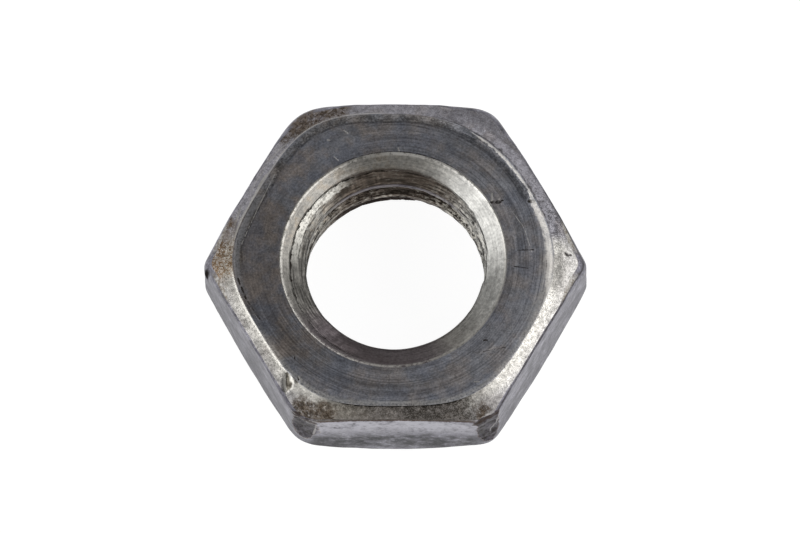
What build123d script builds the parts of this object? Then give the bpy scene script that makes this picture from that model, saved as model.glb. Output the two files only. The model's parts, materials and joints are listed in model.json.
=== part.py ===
"""Jam nut: a thin steel hexagon nut, chamfered on both faces and countersunk at both mouths.

Lengths are in millimetres and angles in degrees. The nut lies flat with its thread axis
along +Z. The origin is the centre of the underside. Two of the six corners point along
+X and -X, so one pair of spanner flats faces +Y and -Y.
"""
from build123d import *

import math
import os

# Hexagon
ACROSS_FLATS = 19.0  # spanner size
THICKNESS = 6.0  # half the thread's diameter, which is what makes it a jam nut
CORNER_RADIUS = 0.8  # upright corners, left round by the forming die

# Bearing faces, and the cones that trim the hexagon's corners down to them
FACE_INSET = 0.7  # the round bearing face stops this far inside the flats
TOP_CHAMFER_ANGLE = 30.0  # measured from the bearing face
BOTTOM_CHAMFER_ANGLE = 33.0
FACE_EDGE_RADIUS = 0.3  # rolled edge between a bearing face and its chamfer

# Thread, metric coarse
THREAD_DIAMETER = 12.0
THREAD_PITCH = 1.75
THREAD_HEIGHT_RATIO = 5 / 8 * math.sqrt(3) / 2  # height of a metric thread, per unit of pitch

# Countersinks that lead the bolt into the thread
COUNTERSINK_RELIEF = 0.4  # the mouth opens this far beyond the thread's outer radius
COUNTERSINK_ANGLE = 110.0  # included angle of the cone

FACE_RADIUS = ACROSS_FLATS / 2 - FACE_INSET
SHARP_CORNER_RADIUS = ACROSS_FLATS / math.sqrt(3)
BORE_RADIUS = THREAD_DIAMETER / 2 - THREAD_PITCH * THREAD_HEIGHT_RATIO
MOUTH_RADIUS = THREAD_DIAMETER / 2 + COUNTERSINK_RELIEF
COUNTERSINK_DEPTH = (MOUTH_RADIUS - BORE_RADIUS) / math.tan(math.radians(COUNTERSINK_ANGLE / 2))


def turned(points, rounded_radius=None, edge_radius=0.0):
    """Revolve a half section, given as (radius, height) points, about the thread axis.

    The points at rounded_radius get a fillet of edge_radius, which the revolve carries
    all the way round.
    """
    section = make_face(Polyline(*points, close=True))
    if rounded_radius is not None:
        corners = [v for v in section.vertices() if math.isclose(v.X, rounded_radius)]
        section = fillet(corners, edge_radius)
    return revolve(Plane.XZ * section, Axis.Z)


def hexagon_blank():
    """The hexagon as it comes from the die: six flats and six round upright corners."""
    outline = RegularPolygon(ACROSS_FLATS / 2, side_count=6, major_radius=False)
    return extrude(fillet(outline.vertices(), CORNER_RADIUS), THICKNESS)


def chamfer_envelope(angle):
    """The space under one chamfer cone, with its bearing face on the ground plane.

    The cone starts at the bearing face's edge and rises to the hexagon's corners. Where it
    crosses the six flats it leaves a hyperbola on each, the arched edge of a spanner flat.
    """
    rise = (SHARP_CORNER_RADIUS - FACE_RADIUS) * math.tan(math.radians(angle))
    top = rise + THICKNESS
    points = [(0, 0), (FACE_RADIUS, 0), (SHARP_CORNER_RADIUS, rise), (SHARP_CORNER_RADIUS, top), (0, top)]
    return turned(points, FACE_RADIUS, FACE_EDGE_RADIUS)


def countersunk_bore():
    """The bore at the thread's inner diameter, with a cone opening out at each mouth."""
    return turned(
        [
            (0, 0),
            (MOUTH_RADIUS, 0),
            (BORE_RADIUS, COUNTERSINK_DEPTH),
            (BORE_RADIUS, THICKNESS - COUNTERSINK_DEPTH),
            (MOUTH_RADIUS, THICKNESS),
            (0, THICKNESS),
        ]
    )


def jam_nut():
    """The whole nut, one solid."""
    bottom = chamfer_envelope(BOTTOM_CHAMFER_ANGLE)
    top = Pos(0, 0, THICKNESS) * Rot(180, 0, 0) * chamfer_envelope(TOP_CHAMFER_ANGLE)
    return (hexagon_blank() & bottom & top) - countersunk_bore()


nut = jam_nut()
box = nut.bounding_box()
print(f"across flats {box.size.Y:.3f} mm, across rounded corners {box.size.X:.3f} mm")
print(f"thickness {box.size.Z:.3f} mm, volume {nut.volume:.1f} cubic mm")
print(f"bore radius {BORE_RADIUS:.3f} mm, plain for {THICKNESS - 2 * COUNTERSINK_DEPTH:.3f} mm")

os.makedirs("parts", exist_ok=True)
export_step(nut, "parts/jam_nut.step")
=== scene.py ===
# %% [markdown]
# # A used jam nut
#
# A jam nut is a thin hexagon nut that locks another nut in place. It is forged hot in a die
# that also shapes its chamfers, its two faces are turned, the hole is drilled, countersunk
# and tapped, and then it spends years being gripped by spanners. This lesson builds one in
# Blender: first the shape, by a rule, then the damage, and then the finish that each process
# left.
#
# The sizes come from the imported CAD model, so everything is in metres and in its frame. The
# nut lies on its underside, its thread runs along Z, and one of its corners points along +X.

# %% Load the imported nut
import json
import math

import bpy
from mathutils import Matrix, Vector


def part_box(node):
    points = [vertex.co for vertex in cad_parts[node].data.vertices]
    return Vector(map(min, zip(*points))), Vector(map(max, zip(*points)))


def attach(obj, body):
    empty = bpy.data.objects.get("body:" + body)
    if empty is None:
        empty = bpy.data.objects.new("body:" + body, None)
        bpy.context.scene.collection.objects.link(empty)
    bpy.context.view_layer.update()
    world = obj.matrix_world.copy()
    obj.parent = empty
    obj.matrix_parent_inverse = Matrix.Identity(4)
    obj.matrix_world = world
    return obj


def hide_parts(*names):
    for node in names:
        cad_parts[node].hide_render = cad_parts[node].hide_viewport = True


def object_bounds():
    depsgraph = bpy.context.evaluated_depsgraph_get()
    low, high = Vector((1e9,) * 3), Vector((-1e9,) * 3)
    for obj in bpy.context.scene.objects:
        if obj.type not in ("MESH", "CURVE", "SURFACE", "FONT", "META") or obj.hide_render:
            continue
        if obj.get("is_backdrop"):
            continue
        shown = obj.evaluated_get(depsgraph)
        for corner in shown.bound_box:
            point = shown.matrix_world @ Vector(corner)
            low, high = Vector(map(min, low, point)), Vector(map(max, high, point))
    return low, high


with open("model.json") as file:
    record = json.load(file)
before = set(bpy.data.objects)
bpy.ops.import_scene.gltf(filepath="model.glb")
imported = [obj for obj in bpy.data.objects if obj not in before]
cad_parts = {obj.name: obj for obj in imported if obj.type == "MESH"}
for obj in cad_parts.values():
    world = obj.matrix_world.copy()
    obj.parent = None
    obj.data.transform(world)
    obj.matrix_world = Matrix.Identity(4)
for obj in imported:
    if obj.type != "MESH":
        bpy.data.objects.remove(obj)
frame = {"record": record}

cad_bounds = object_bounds()
lowest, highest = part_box("jam_nut")
thread_mount = next(mount for mount in frame["record"]["mounts"] if mount["name"] == "thread")

mm = 0.001
degree = math.pi / 180
across_flats = highest.y - lowest.y
thickness = highest.z - lowest.z
bore_radius = thread_mount["dims"]["r_mm"] * mm
print(f"across flats {across_flats / mm:.2f} mm, thickness {thickness / mm:.2f} mm,",
      f"bore radius {bore_radius / mm:.3f} mm")

# %% [markdown]
# ## Writing formulas for node trees
#
# A node tree can hold a long formula, but wiring Math nodes one by one hides what it says.
# The small class below lets a formula be written as plain arithmetic: each operation adds
# one Math node and plugs its inputs in. Geometry trees and shader trees both have that node,
# so the same class, and the helpers under it, serve the shape and the finishes alike.

# %% A number that varies over a surface
def plug(tree, value, socket):
    """Feed a socket with a Field, with another socket, or with a plain value."""
    if isinstance(value, Field):
        value = value.socket
    if isinstance(value, bpy.types.NodeSocket):
        tree.links.new(value, socket)
    elif socket.type == "RGBA":
        socket.default_value = (*value, 1.0)
    else:
        socket.default_value = value


class Field:
    """A number that changes from point to point, held as the output of a node."""

    def __init__(self, tree, socket):
        self.tree = tree
        self.socket = socket

    def math(self, operation, *others):
        node = self.tree.nodes.new("ShaderNodeMath")
        node.operation = operation
        for socket, value in zip(node.inputs, (self, *others)):
            plug(self.tree, value, socket)
        return Field(self.tree, node.outputs[0])

    def __add__(self, other):
        return self.math("ADD", other)

    def __sub__(self, other):
        return self.math("SUBTRACT", other)

    def __mul__(self, other):
        return self.math("MULTIPLY", other)

    def __truediv__(self, other):
        return self.math("DIVIDE", other)

    def __neg__(self):
        return self.math("MULTIPLY", -1.0)

    def __rsub__(self, other):
        return (-self) + other

    __radd__ = __add__
    __rmul__ = __mul__

    def ramp(self, start, end, low=0.0, high=1.0):
        """Go smoothly from low to high while this number goes from start to end."""
        node = self.tree.nodes.new("ShaderNodeMapRange")
        node.interpolation_type = "SMOOTHSTEP"
        for socket, value in zip(node.inputs, (self, start, end, low, high)):
            plug(self.tree, value, socket)
        return Field(self.tree, node.outputs[0])


print("a Field adds one node for each operation written with it")

# %% [markdown]
# ### Vectors, noise and strokes
#
# Places and colours are vectors, so two helpers pack three numbers into one vector and take
# them out again. Noise makes everything that is uneven, and as it has no changing seed, the
# nut comes out the same each time. Dents and scratches are strokes, and they need to know how
# far a point is from a straight line between two places.

# %% Helpers for vectors and soft random variation
def combine(tree, x, y, z):
    """Three numbers as one vector."""
    node = tree.nodes.new("ShaderNodeCombineXYZ")
    for socket, value in zip(node.inputs, (x, y, z)):
        plug(tree, value, socket)
    return node.outputs[0]


def separate(tree, vector):
    """The three numbers of a vector."""
    node = tree.nodes.new("ShaderNodeSeparateXYZ")
    plug(tree, vector, node.inputs[0])
    return [Field(tree, socket) for socket in node.outputs]


def vector_math(tree, operation, first, second=None):
    """One Vector Math node. Its scale is the second input where it has one."""
    node = tree.nodes.new("ShaderNodeVectorMath")
    node.operation = operation
    plug(tree, first, node.inputs[0])
    if second is not None:
        plug(tree, second, node.inputs["Scale" if operation == "SCALE" else 1])
    return node.outputs["Value" if operation in ("DOT_PRODUCT", "LENGTH") else "Vector"]


def noise(tree, vector, scale, detail=2.0, roughness=0.5):
    """Soft variation about 0.5, the same at every run."""
    node = tree.nodes.new("ShaderNodeTexNoise")
    plug(tree, vector, node.inputs["Vector"])
    for name, value in (("Scale", scale), ("Detail", detail), ("Roughness", roughness)):
        plug(tree, value, node.inputs[name])
    return Field(tree, node.outputs[0])


def distance_to_stroke(tree, point, start, end):
    """How far a point is from a straight stroke between two places."""
    run = vector_math(tree, "SUBTRACT", end, start)
    offset = vector_math(tree, "SUBTRACT", point, start)
    reached = Field(tree, vector_math(tree, "DOT_PRODUCT", offset, run))
    whole = Field(tree, vector_math(tree, "DOT_PRODUCT", run, run))
    share = (reached / whole).math("MAXIMUM", 0.0).math("MINIMUM", 1.0)
    nearest = vector_math(tree, "SCALE", run, share)
    return Field(tree, vector_math(tree, "LENGTH", vector_math(tree, "SUBTRACT", offset, nearest)))


print("helpers for vectors, noise and strokes work in both kinds of tree")

# %% [markdown]
# ## The shape as a rule
#
# Cut the nut with a half plane that turns about its axis, and the cut is always the same
# kind of loop: along the underside, up the lower chamfer, up the flat, over the upper
# chamfer, in along the face, and down the threaded hole. Only the numbers change with the
# angle. That is a rule, so Geometry Nodes can hold it: each stretch of the loop is a grid
# whose columns go round the nut and whose rows go along the stretch, and a formula puts each
# point in its place.
#
# The tree has a named input for each main size, so the same tree makes any nut of this kind.

# %% Start the tree and name its sizes
tree = bpy.data.node_groups.new("nut by rule", "GeometryNodeTree")
tree.interface.new_socket("Geometry", in_out="OUTPUT", socket_type="NodeSocketGeometry")
group_input = tree.nodes.new("NodeGroupInput")
group_output = tree.nodes.new("NodeGroupOutput")
chosen_sizes = {}


def size(name, value):
    """Add a named input to the tree and remember the value that this nut gives it."""
    socket = tree.interface.new_socket(name, in_out="INPUT", socket_type="NodeSocketFloat")
    chosen_sizes[socket.identifier] = value
    return Field(tree, group_input.outputs[name])


bearing_radius = 8.69 * mm
mouth_size = 6.4 * mm
cone_angle = 35 * degree
thread_pitch = 1.75 * mm
half_flats = size("Across flats", across_flats) / 2
height = size("Thickness", thickness)
bore = size("Bore radius", bore_radius)
mouth = size("Countersink mouth radius", mouth_size)
cone_slope = size("Countersink slope", math.tan(cone_angle))
face = size("Bearing face radius", bearing_radius)
upper_slope = size("Upper chamfer slope", math.tan(30 * degree))
lower_slope = size("Lower chamfer slope", math.tan(33 * degree))
pitch = size("Thread pitch", thread_pitch)
root = size("Thread root radius", 6.12 * mm)
wear_depth = size("Rubbing depth", 0.03 * mm)
tear_depth = size("Torn thread depth", 0.035 * mm)
print("the tree takes", len(chosen_sizes), "sizes")

# %% [markdown]
# ### The worn hexagon
#
# The outline's radius at an angle is the nearer of the two flats that meet at the closest
# corner. A smooth minimum rounds the corner off, and the more a corner has been slipped over
# by spanners, the wider it blends. No two corners are alike, so an Index Switch holds one
# value for each corner, counted anticlockwise from +X.

# %% Outline of the worn hexagon
corner_pitch = 60 * degree
corner_wear = [0.72, 1.6, 2.4, 0.8, 1.7, 1.1]
flat_wear = [0.0, 0.0, 0.0, 0.02, 0.0, 0.0]


def by_corner(index, values):
    """The length in millimetres that belongs to a corner, as metres."""
    node = tree.nodes.new("GeometryNodeIndexSwitch")
    node.data_type = "FLOAT"
    for _ in values[2:]:
        node.index_switch_items.new()
    plug(tree, index.math("FLOORED_MODULO", len(values)), node.inputs["Index"])
    for item, value in enumerate(values):
        plug(tree, value * mm, node.inputs[item + 1])
    return Field(tree, node.outputs[0])


def corner_and_offset(angle):
    """The nearest corner's number, and the angle from that corner."""
    corner = (angle / corner_pitch).math("ROUND")
    return corner, angle - corner * corner_pitch


def hexagon(angle):
    """Radius of the hexagon's outline at an angle."""
    corner, offset = corner_and_offset(angle)
    ahead = (half_flats - by_corner(corner, flat_wear)) / (offset - corner_pitch / 2).math("COSINE")
    behind = (half_flats - by_corner(corner - 1, flat_wear)) / (offset + corner_pitch / 2).math("COSINE")
    return ahead.math("SMOOTH_MIN", behind, by_corner(corner, corner_wear))


sharp_corner = across_flats / 2 / math.cos(corner_pitch / 2)
print(f"sharp corners would reach {sharp_corner / mm:.2f} mm from the axis")

# %% [markdown]
# ### The bearing face
#
# The face was turned round, but the lathe only just cleaned up the forging. Where metal was
# plentiful, at the corners, the face reaches further out, so its edge is not a true circle.

# %% Outline of the bearing face
face_lobes = [0.27, 0.13, 0.48, 0.45, 0.45, 0.43]


def side(angle, towards, half_width, fade):
    """One on a side of the nut, none elsewhere. All but the angle in degrees."""
    facing = (angle - towards * degree).math("COSINE")
    return facing.ramp(math.cos((half_width + fade) * degree), math.cos(half_width * degree))


def face_outline(angle):
    """Radius of the upper bearing face at an angle."""
    corner, offset = corner_and_offset(angle)
    towards_corner = (offset * 6).math("COSINE") * 0.5 + 0.5
    return face + by_corner(corner, face_lobes) * towards_corner


print(f"the face reaches {bearing_radius / mm:.2f} mm,",
      f"and {bearing_radius / mm + max(face_lobes):.2f} mm at most")

# %% [markdown]
# ### Stretches and bends
#
# A stretch runs straight between two corners of the loop. Real corners are never sharp, so
# each stretch stops a little short and a bend fills the gap: a quadratic curve that leaves
# along one stretch and arrives along the next. Both are worked out from two Fields: the
# turn, which is the angle round the nut, and how far along its stretch a point is.

# %% Helpers for the corners of the section
grid_place = tree.nodes.new("GeometryNodeInputPosition")
grid_x, grid_y, _ = separate(tree, grid_place.outputs[0])
turn = (grid_x + 0.5) * (2 * math.pi)
along = grid_y + 0.5


class Corner:
    """A corner of the section, with how far its bend reaches before and after it."""

    def __init__(self, radius, level, before=0.0, after=0.0):
        self.radius = radius
        self.level = level
        self.before = before
        self.after = after


def step_towards(start, end, distance):
    """The radius and level at a distance from one corner towards another."""
    across = end.radius - start.radius
    rise = end.level - start.level
    squared = across * across + rise * rise
    if isinstance(distance, Field):
        share = distance / squared.math("SQRT")
    else:
        share = squared.math("POWER", -0.5) * distance
    return start.radius + across * share, start.level + rise * share


print("a grid's X turns once round the nut, and its Y runs along a stretch")

# %% [markdown]
# ### Laying a band
#
# A band starts as a flat grid, and Set Position bends it into a ring. Store Named Attribute
# then writes on every face the number of the finish that its process left, so that materials
# can be handed out at the end.

# %% Helpers that place one band of the surface
TURNED, FORGED, RUBBED, CUT = range(4)
columns = 600
bands = []


def band(rows, radius, level, finish):
    """A ring of faces all round the nut, bent to the given radius and level."""
    grid = tree.nodes.new("GeometryNodeMeshGrid")
    for name, value in (("Size X", 1.0), ("Size Y", 1.0),
                        ("Vertices X", columns + 1), ("Vertices Y", rows + 1)):
        grid.inputs[name].default_value = value
    move = tree.nodes.new("GeometryNodeSetPosition")
    tree.links.new(grid.outputs["Mesh"], move.inputs["Geometry"])
    ring = combine(tree, radius * turn.math("COSINE"), radius * turn.math("SINE"), level)
    plug(tree, ring, move.inputs["Position"])
    mark = tree.nodes.new("GeometryNodeStoreNamedAttribute")
    mark.data_type = "INT"
    mark.domain = "FACE"
    mark.inputs["Name"].default_value = "finish"
    mark.inputs["Value"].default_value = finish
    tree.links.new(move.outputs["Geometry"], mark.inputs["Geometry"])
    bands.append(mark.outputs["Geometry"])


def stretch(rows, start, end, finish):
    """The straight run between two corners, less what their bends take."""
    radius, level = step_towards(start, end, start.after)
    far_radius, far_level = step_towards(end, start, end.before)
    band(rows, radius + (far_radius - radius) * along, level + (far_level - level) * along, finish)


def bend(rows, previous, corner, following, finish):
    """The curve that rounds a corner off."""
    first = step_towards(corner, previous, corner.before)
    last = step_towards(corner, following, corner.after)
    near, middle, far = (1 - along) * (1 - along), along * (1 - along) * 2, along * along
    radius = first[0] * near + corner.radius * middle + last[0] * far
    level = first[1] * near + corner.level * middle + last[1] * far
    band(rows, radius, level, finish)


print("every band has", columns, "columns")

# %% [markdown]
# ### The corners of the section
#
# Now the loop itself, corner by corner. The shoulder, where a flat meets the chamfer, bends
# most at the nut's own corners, and some of those are softer than others. The countersinks
# were cut a little off centre, so their mouths lean to one side.

# %% Place the corners of the section
outline = hexagon(turn)
face_edge = face_outline(turn)
corner_softness = [0.42, 0.30, 0.35, 0.38, 0.12, 0.12]
lip = 0.05 * mm
mouth_heading, mouth_shift = 200 * degree, 0.1 * mm
lower_heading, lower_shift = 100 * degree, 0.28 * mm


def mouth_radius(angle):
    """Radius of the upper countersink where it meets the face."""
    return mouth + (angle - mouth_heading).math("COSINE") * mouth_shift


def lower_mouth_radius(angle):
    """Radius of the lower countersink where it meets the underside."""
    return mouth + (angle - lower_heading).math("COSINE") * lower_shift


def chamfer_slope(angle):
    """Slope of the upper chamfer, a little steeper on the near side."""
    return upper_slope * (side(angle, 270, 18, 20) * 0.22 + 1.0)


def shoulder_reach(angle):
    """How far the upper shoulder's bend reaches, which is most at the corners."""
    corner, offset = corner_and_offset(angle)
    towards_corner = (offset * 6).math("COSINE").ramp(-0.2, 1.0)
    return by_corner(corner, corner_softness) * towards_corner + 0.13 * mm


ground = height * 0.0
under_mouth = Corner(lower_mouth_radius(turn), ground)
under_edge = Corner(face + 0.2 * mm, ground, 0.15 * mm, 0.15 * mm)
under_shoulder = Corner(outline, (outline - under_edge.radius) * lower_slope, 0.15 * mm, 0.15 * mm)
soft = shoulder_reach(turn)
upper_shoulder = Corner(outline, height - (outline - face_edge) * chamfer_slope(turn), soft, soft)
upper_edge = Corner(face_edge, height, 0.08 * mm, 0.12 * mm)
mouth_edge = Corner(mouth_radius(turn), height, lip, lip)
down_cone = Corner(mouth_edge.radius - mm, height - cone_slope * mm)
print(f"the mouth is {mouth_shift / mm:.2f} mm off centre above, {lower_shift / mm:.2f} mm below")

# %% [markdown]
# ### The outside of the nut
#
# Each line lays one band, from the mouth of the lower countersink round the outside to the
# mouth of the upper one, with the skin facing outwards everywhere. The flats take the most
# rows, because dents and broken corners bend them later.

# %% Lay the outside of the nut
stretch(3, under_mouth, under_edge, TURNED)
bend(4, under_mouth, under_edge, under_shoulder, FORGED)
stretch(6, under_edge, under_shoulder, FORGED)
bend(4, under_edge, under_shoulder, upper_shoulder, RUBBED)
stretch(28, under_shoulder, upper_shoulder, RUBBED)
bend(8, under_shoulder, upper_shoulder, upper_edge, RUBBED)
stretch(12, upper_shoulder, upper_edge, FORGED)
bend(6, upper_shoulder, upper_edge, mouth_edge, TURNED)
stretch(10, upper_edge, mouth_edge, TURNED)
bend(3, upper_edge, mouth_edge, down_cone, CUT)
print(len(bands), "bands outside")

# %% [markdown]
# ### The hole
#
# The hole is a band too, but its radius comes from three surfaces at once: the countersink
# above, the countersink below, and the thread, a groove that sinks by one pitch for each
# turn. Whatever lies furthest out was cut away, so the radius is the largest of the three.
# That alone makes the thread run out into the countersink in the right spiral. Rows are
# closer together near the top, where the hole is open to view.

# %% Cut the countersinks and the thread
first_crest = 1.88 * mm
flank_slope = math.sqrt(3)
hole_rows = 76


def thread_radius(depth, angle):
    """Radius of the tapped thread at a depth below the upper face."""
    turns_down = (depth - first_crest) / pitch + (angle - 90 * degree) / (2 * math.pi)
    ring = combine(tree, angle.math("COSINE") * 9, angle.math("SINE") * 9, depth / mm)
    wander = (noise(tree, ring, 1.0, 3.0, 0.6) - 0.5) * (0.16 * mm)
    from_crest = ((turns_down + 0.5).math("FRACT") - 0.5).math("ABSOLUTE") * pitch + wander
    flank = (from_crest - pitch / 8) * flank_slope
    stripped = side(angle, 145, 35, 30) * depth.ramp(3.9 * mm, 4.5 * mm) * (0.22 * mm)
    return (bore + flank.math("MAXIMUM", stripped)).math("MINIMUM", root)


def upper_cone(depth, angle):
    """Radius of the upper countersink at a depth below the upper face."""
    return mouth_radius(angle) - depth / cone_slope


lip_drop = lip * math.sin(cone_angle)
depth = along.math("POWER", 1.25) * (height - lip_drop) + lip_drop
lower_cone = lower_mouth_radius(turn) - (height - depth) / cone_slope
hole = thread_radius(depth, turn).math("MAXIMUM", upper_cone(depth, turn)).math("MAXIMUM", lower_cone)
band(hole_rows, hole, height - depth, CUT)
print("thread runs", f"{thickness / thread_pitch:.1f} turns through the nut")

# %% [markdown]
# ### Weld and measure
#
# The bands meet exactly, so a merge by distance makes them one closed skin. Some finishes
# follow an edge rather than a place, such as the bright line where a spanner rubs. Here the
# tree measures each point's distance from those edges and stores it, in millimetres, so
# that the materials can read it as an attribute.

# %% Weld the bands and store distances from the edges
def through(kind, geometry):
    """Pass geometry through one more node."""
    node = tree.nodes.new(kind)
    tree.links.new(geometry, node.inputs["Geometry"])
    return node


def store(geometry, name, value):
    """Keep a number at each point under a name."""
    node = through("GeometryNodeStoreNamedAttribute", geometry)
    node.inputs["Name"].default_value = name
    plug(tree, value, node.inputs["Value"])
    return node.outputs[0]


weld_distance = 0.002 * mm
join = tree.nodes.new("GeometryNodeJoinGeometry")
for geometry in bands:
    tree.links.new(geometry, join.inputs[0])
weld = through("GeometryNodeMergeByDistance", join.outputs[0])
weld.inputs["Distance"].default_value = weld_distance

place = tree.nodes.new("GeometryNodeInputPosition").outputs[0]
x, y, z = separate(tree, place)
angle = y.math("ARCTAN2", x)
radius = (x * x + y * y).math("SQRT")
shoulder = height - (hexagon(angle) - face_outline(angle)) * chamfer_slope(angle)
skin = store(weld.outputs[0], "beyond_edge", (radius - face_outline(angle)) / mm)
skin = store(skin, "below_shoulder", (shoulder - z) / mm)
skin = store(skin, "beyond_crest", (thread_radius(height - z, angle) - bore) / mm)
skin = store(skin, "beyond_cone", (thread_radius(height - z, angle) - upper_cone(height - z, angle)) / mm)
print(len(bands), "bands welded into one skin")

# %% [markdown]
# ### Wear
#
# Wear and damage move the skin itself, so that light catches them from every side. First
# comes what is spread out: the edge of the face is rolled over where the nut was drawn over
# another part, the outside is hollowed a little and unevenly, and a blunt tap has torn the
# thread along its flanks. Each is a distance to move every point along its normal, or down.

# %% Roll the face edge over, rub the outside and tear the thread
def offset_by(geometry, vector):
    """Move each point by a vector."""
    node = through("GeometryNodeSetPosition", geometry)
    plug(tree, vector, node.inputs["Offset"])
    return node.outputs[0]


def along_normal(amount):
    """A vector of the given length, out of the skin."""
    normal = tree.nodes.new("GeometryNodeInputNormal").outputs[0]
    return vector_math(tree, "SCALE", normal, amount)


def in_millimetres():
    """Where each point is now, in millimetres."""
    return vector_math(tree, "SCALE", tree.nodes.new("GeometryNodeInputPosition").outputs[0], 1 / mm)


beyond = radius - face_outline(angle)
near_top = z.ramp(height - 1.2 * mm, height - 0.9 * mm)
rolled = [
    # towards, half width, fade, reach inwards, droop
    (45, 14, 10, 0.24, 0.11),
    (8, 12, 10, 0.42, 0.16),
    (120, 62, 14, 0.22, 0.05),
]
droop = sum(side(angle, towards, half_width, fade) * beyond.ramp(-reach * mm, 0.02 * mm) * (drop * mm)
            for towards, half_width, fade, reach, drop in rolled)
skin = offset_by(skin, combine(tree, 0.0, 0.0, -(droop * beyond.ramp(0.8 * mm, -0.05 * mm) * near_top)))

here = in_millimetres()
on_outside = radius.ramp(8.6 * mm, 9.2 * mm)
rubbing = noise(tree, here, 0.55, 3.0, 0.55).ramp(0.3, 0.75)
skin = offset_by(skin, along_normal(-(rubbing * on_outside * wear_depth)))

streaks = combine(tree, x / radius * 6, y / radius * 6, (z + radius * 0.5) * (6 / mm))
tearing = noise(tree, streaks, 1.0, 3.0, 0.6).ramp(0.42, 0.72)
in_thread = (thread_radius(height - z, angle) - upper_cone(height - z, angle)).ramp(-0.05 * mm, 0.1 * mm)
in_hole = radius.ramp(6.3 * mm, 6.2 * mm)
torn_side = side(angle, 80, 50, 25) + 0.25
skin = offset_by(skin, along_normal(-(tearing * in_thread * in_hole * torn_side * tear_depth)))
print("the face edge droops on", len(rolled), "sides")

# %% [markdown]
# ### Dents and burrs
#
# A sharp edge leaves a dent and pushes up a burr beside it. Both are strokes with a reach
# and a depth, negative for a burr, and noise makes their outline ragged. Dents take metal
# away, so the nut never grows past its real size.

# %% Press the dents in
def dent(geometry, start, end, reach, push):
    """Press a stroke into the skin, or raise it where push is negative. All in millimetres."""
    here = in_millimetres()
    ragged = noise(tree, here, 2.6, 2.0) * (reach * 1.6) - reach * 0.8
    near = (distance_to_stroke(tree, here, start, end) + ragged).ramp(reach, 0.0)
    return offset_by(geometry, along_normal(near * (-push * mm)))


top = thickness / mm


def polar(distance, degrees, drop=0.0):
    """A place in millimetres: its distance from the axis, its angle, its drop below the top."""
    return (distance * math.cos(degrees * degree), distance * math.sin(degrees * degree), top - drop)


dents = [
    # start, end, reach, depth
    ((8.5, 24.0), (9.05, 23.2, 0.1), 0.16, 0.2),
    ((9.05, 25.3, 0.1), (9.3, 24.6, 0.1), 0.12, -0.06),
    ((6.45, 31.6), (6.85, 30.3), 0.15, 0.12),
    ((6.32, 36.5, 0.1), (6.42, 32.8), 0.15, -0.06),
    ((9.15, 228.5, 0.1), (9.75, 231.2, 0.5), 0.24, 0.12),
    ((9.3, 231.0, 0.2), (9.6, 231.9, 0.4), 0.18, 0.08),
    ((9.03, 232.3, 0.1), (9.06, 232.9, 0.1), 0.18, 0.12),
    ((6.97, 4.3), (7.85, 4.0), 0.07, 0.02),
    ((6.75, -3.8), (7.55, -4.3), 0.07, 0.02),
    ((9.68, 2.7, 0.45), (9.9, 2.4, 0.58), 0.12, 0.05),
    ((10.7, 183.4, 0.9), (10.7, 182.4, 2.0), 0.3, 0.08),
]
for start, end, reach, push in dents:
    skin = dent(skin, polar(*start), polar(*end), reach, push)
print(len(dents), "dents and burrs")

# %% [markdown]
# ### Broken corners
#
# A hard knock on a corner breaks a scoop out of it. The scoop is what a ball takes away, and
# to take it away every point inside the ball moves straight out from its middle to its
# surface. The ball's radius is ragged, as broken steel is. How deep a point was inside the
# deepest ball is stored first, for the finish.

# %% Break scoops out of the corners
knock_radius = 8.0
raggedness = 0.36


def missing_at(centre):
    """The way out of a ball from each point, and how far that is. All in millimetres."""
    outwards = vector_math(tree, "SUBTRACT", in_millimetres(), polar(*centre))
    ragged = noise(tree, in_millimetres(), 1.6, 4.0, 0.65) * raggedness + (knock_radius - raggedness / 2)
    missing = ragged - Field(tree, vector_math(tree, "LENGTH", outwards))
    return vector_math(tree, "NORMALIZE", outwards), missing


ball_centres = [
    # distance from the axis, angle, drop below the top
    (18.45, 241.6, 2.2),
    (18.4, 246.6, 2.0),
    (17.75, 241.0, -2.6),
    (18.5, 300.2, 2.4),
    (18.28, 297.8, -0.6),
]
deepest, *others = [missing_at(centre)[1] for centre in ball_centres]
for missing in others:
    deepest = deepest.math("MAXIMUM", missing)
skin = store(skin, "broken", deepest)
for centre in ball_centres:
    way_out, missing = missing_at(centre)
    skin = offset_by(skin, vector_math(tree, "SCALE", way_out, missing.math("MAXIMUM", 0.0) * mm))
print(len(ball_centres), "balls break scoops out of two corners")

# %% [markdown]
# ### A flat top
#
# Burrs on the face were pressed back by whatever the nut was screwed against. Clamping every
# point to the nut's height does the same, and keeps the nut to its real thickness.

# %% Press the burrs back to the real thickness
skin_place = tree.nodes.new("GeometryNodeInputPosition").outputs[0]
burr_x, burr_y, burr_z = separate(tree, skin_place)
flatten = through("GeometryNodeSetPosition", skin)
plug(tree, combine(tree, burr_x, burr_y, burr_z.math("MINIMUM", height)), flatten.inputs["Position"])
skin = flatten.outputs[0]
print("the top stays at", round(thickness / mm, 3), "mm")

# %% [markdown]
# ### Hand out the materials
#
# The tree ends by realizing everything and giving each finish its material. The materials
# are empty for now and are filled in below. The modifier's inputs are set before the object
# is first evaluated, the result becomes a plain mesh, and the modifier goes.

# %% Finish the tree and make the nut
finish_names = ["turned_face", "forged_chamfer", "rubbed_flat", "cut_hole"]
materials = [bpy.data.materials.new(name) for name in finish_names]

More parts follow.
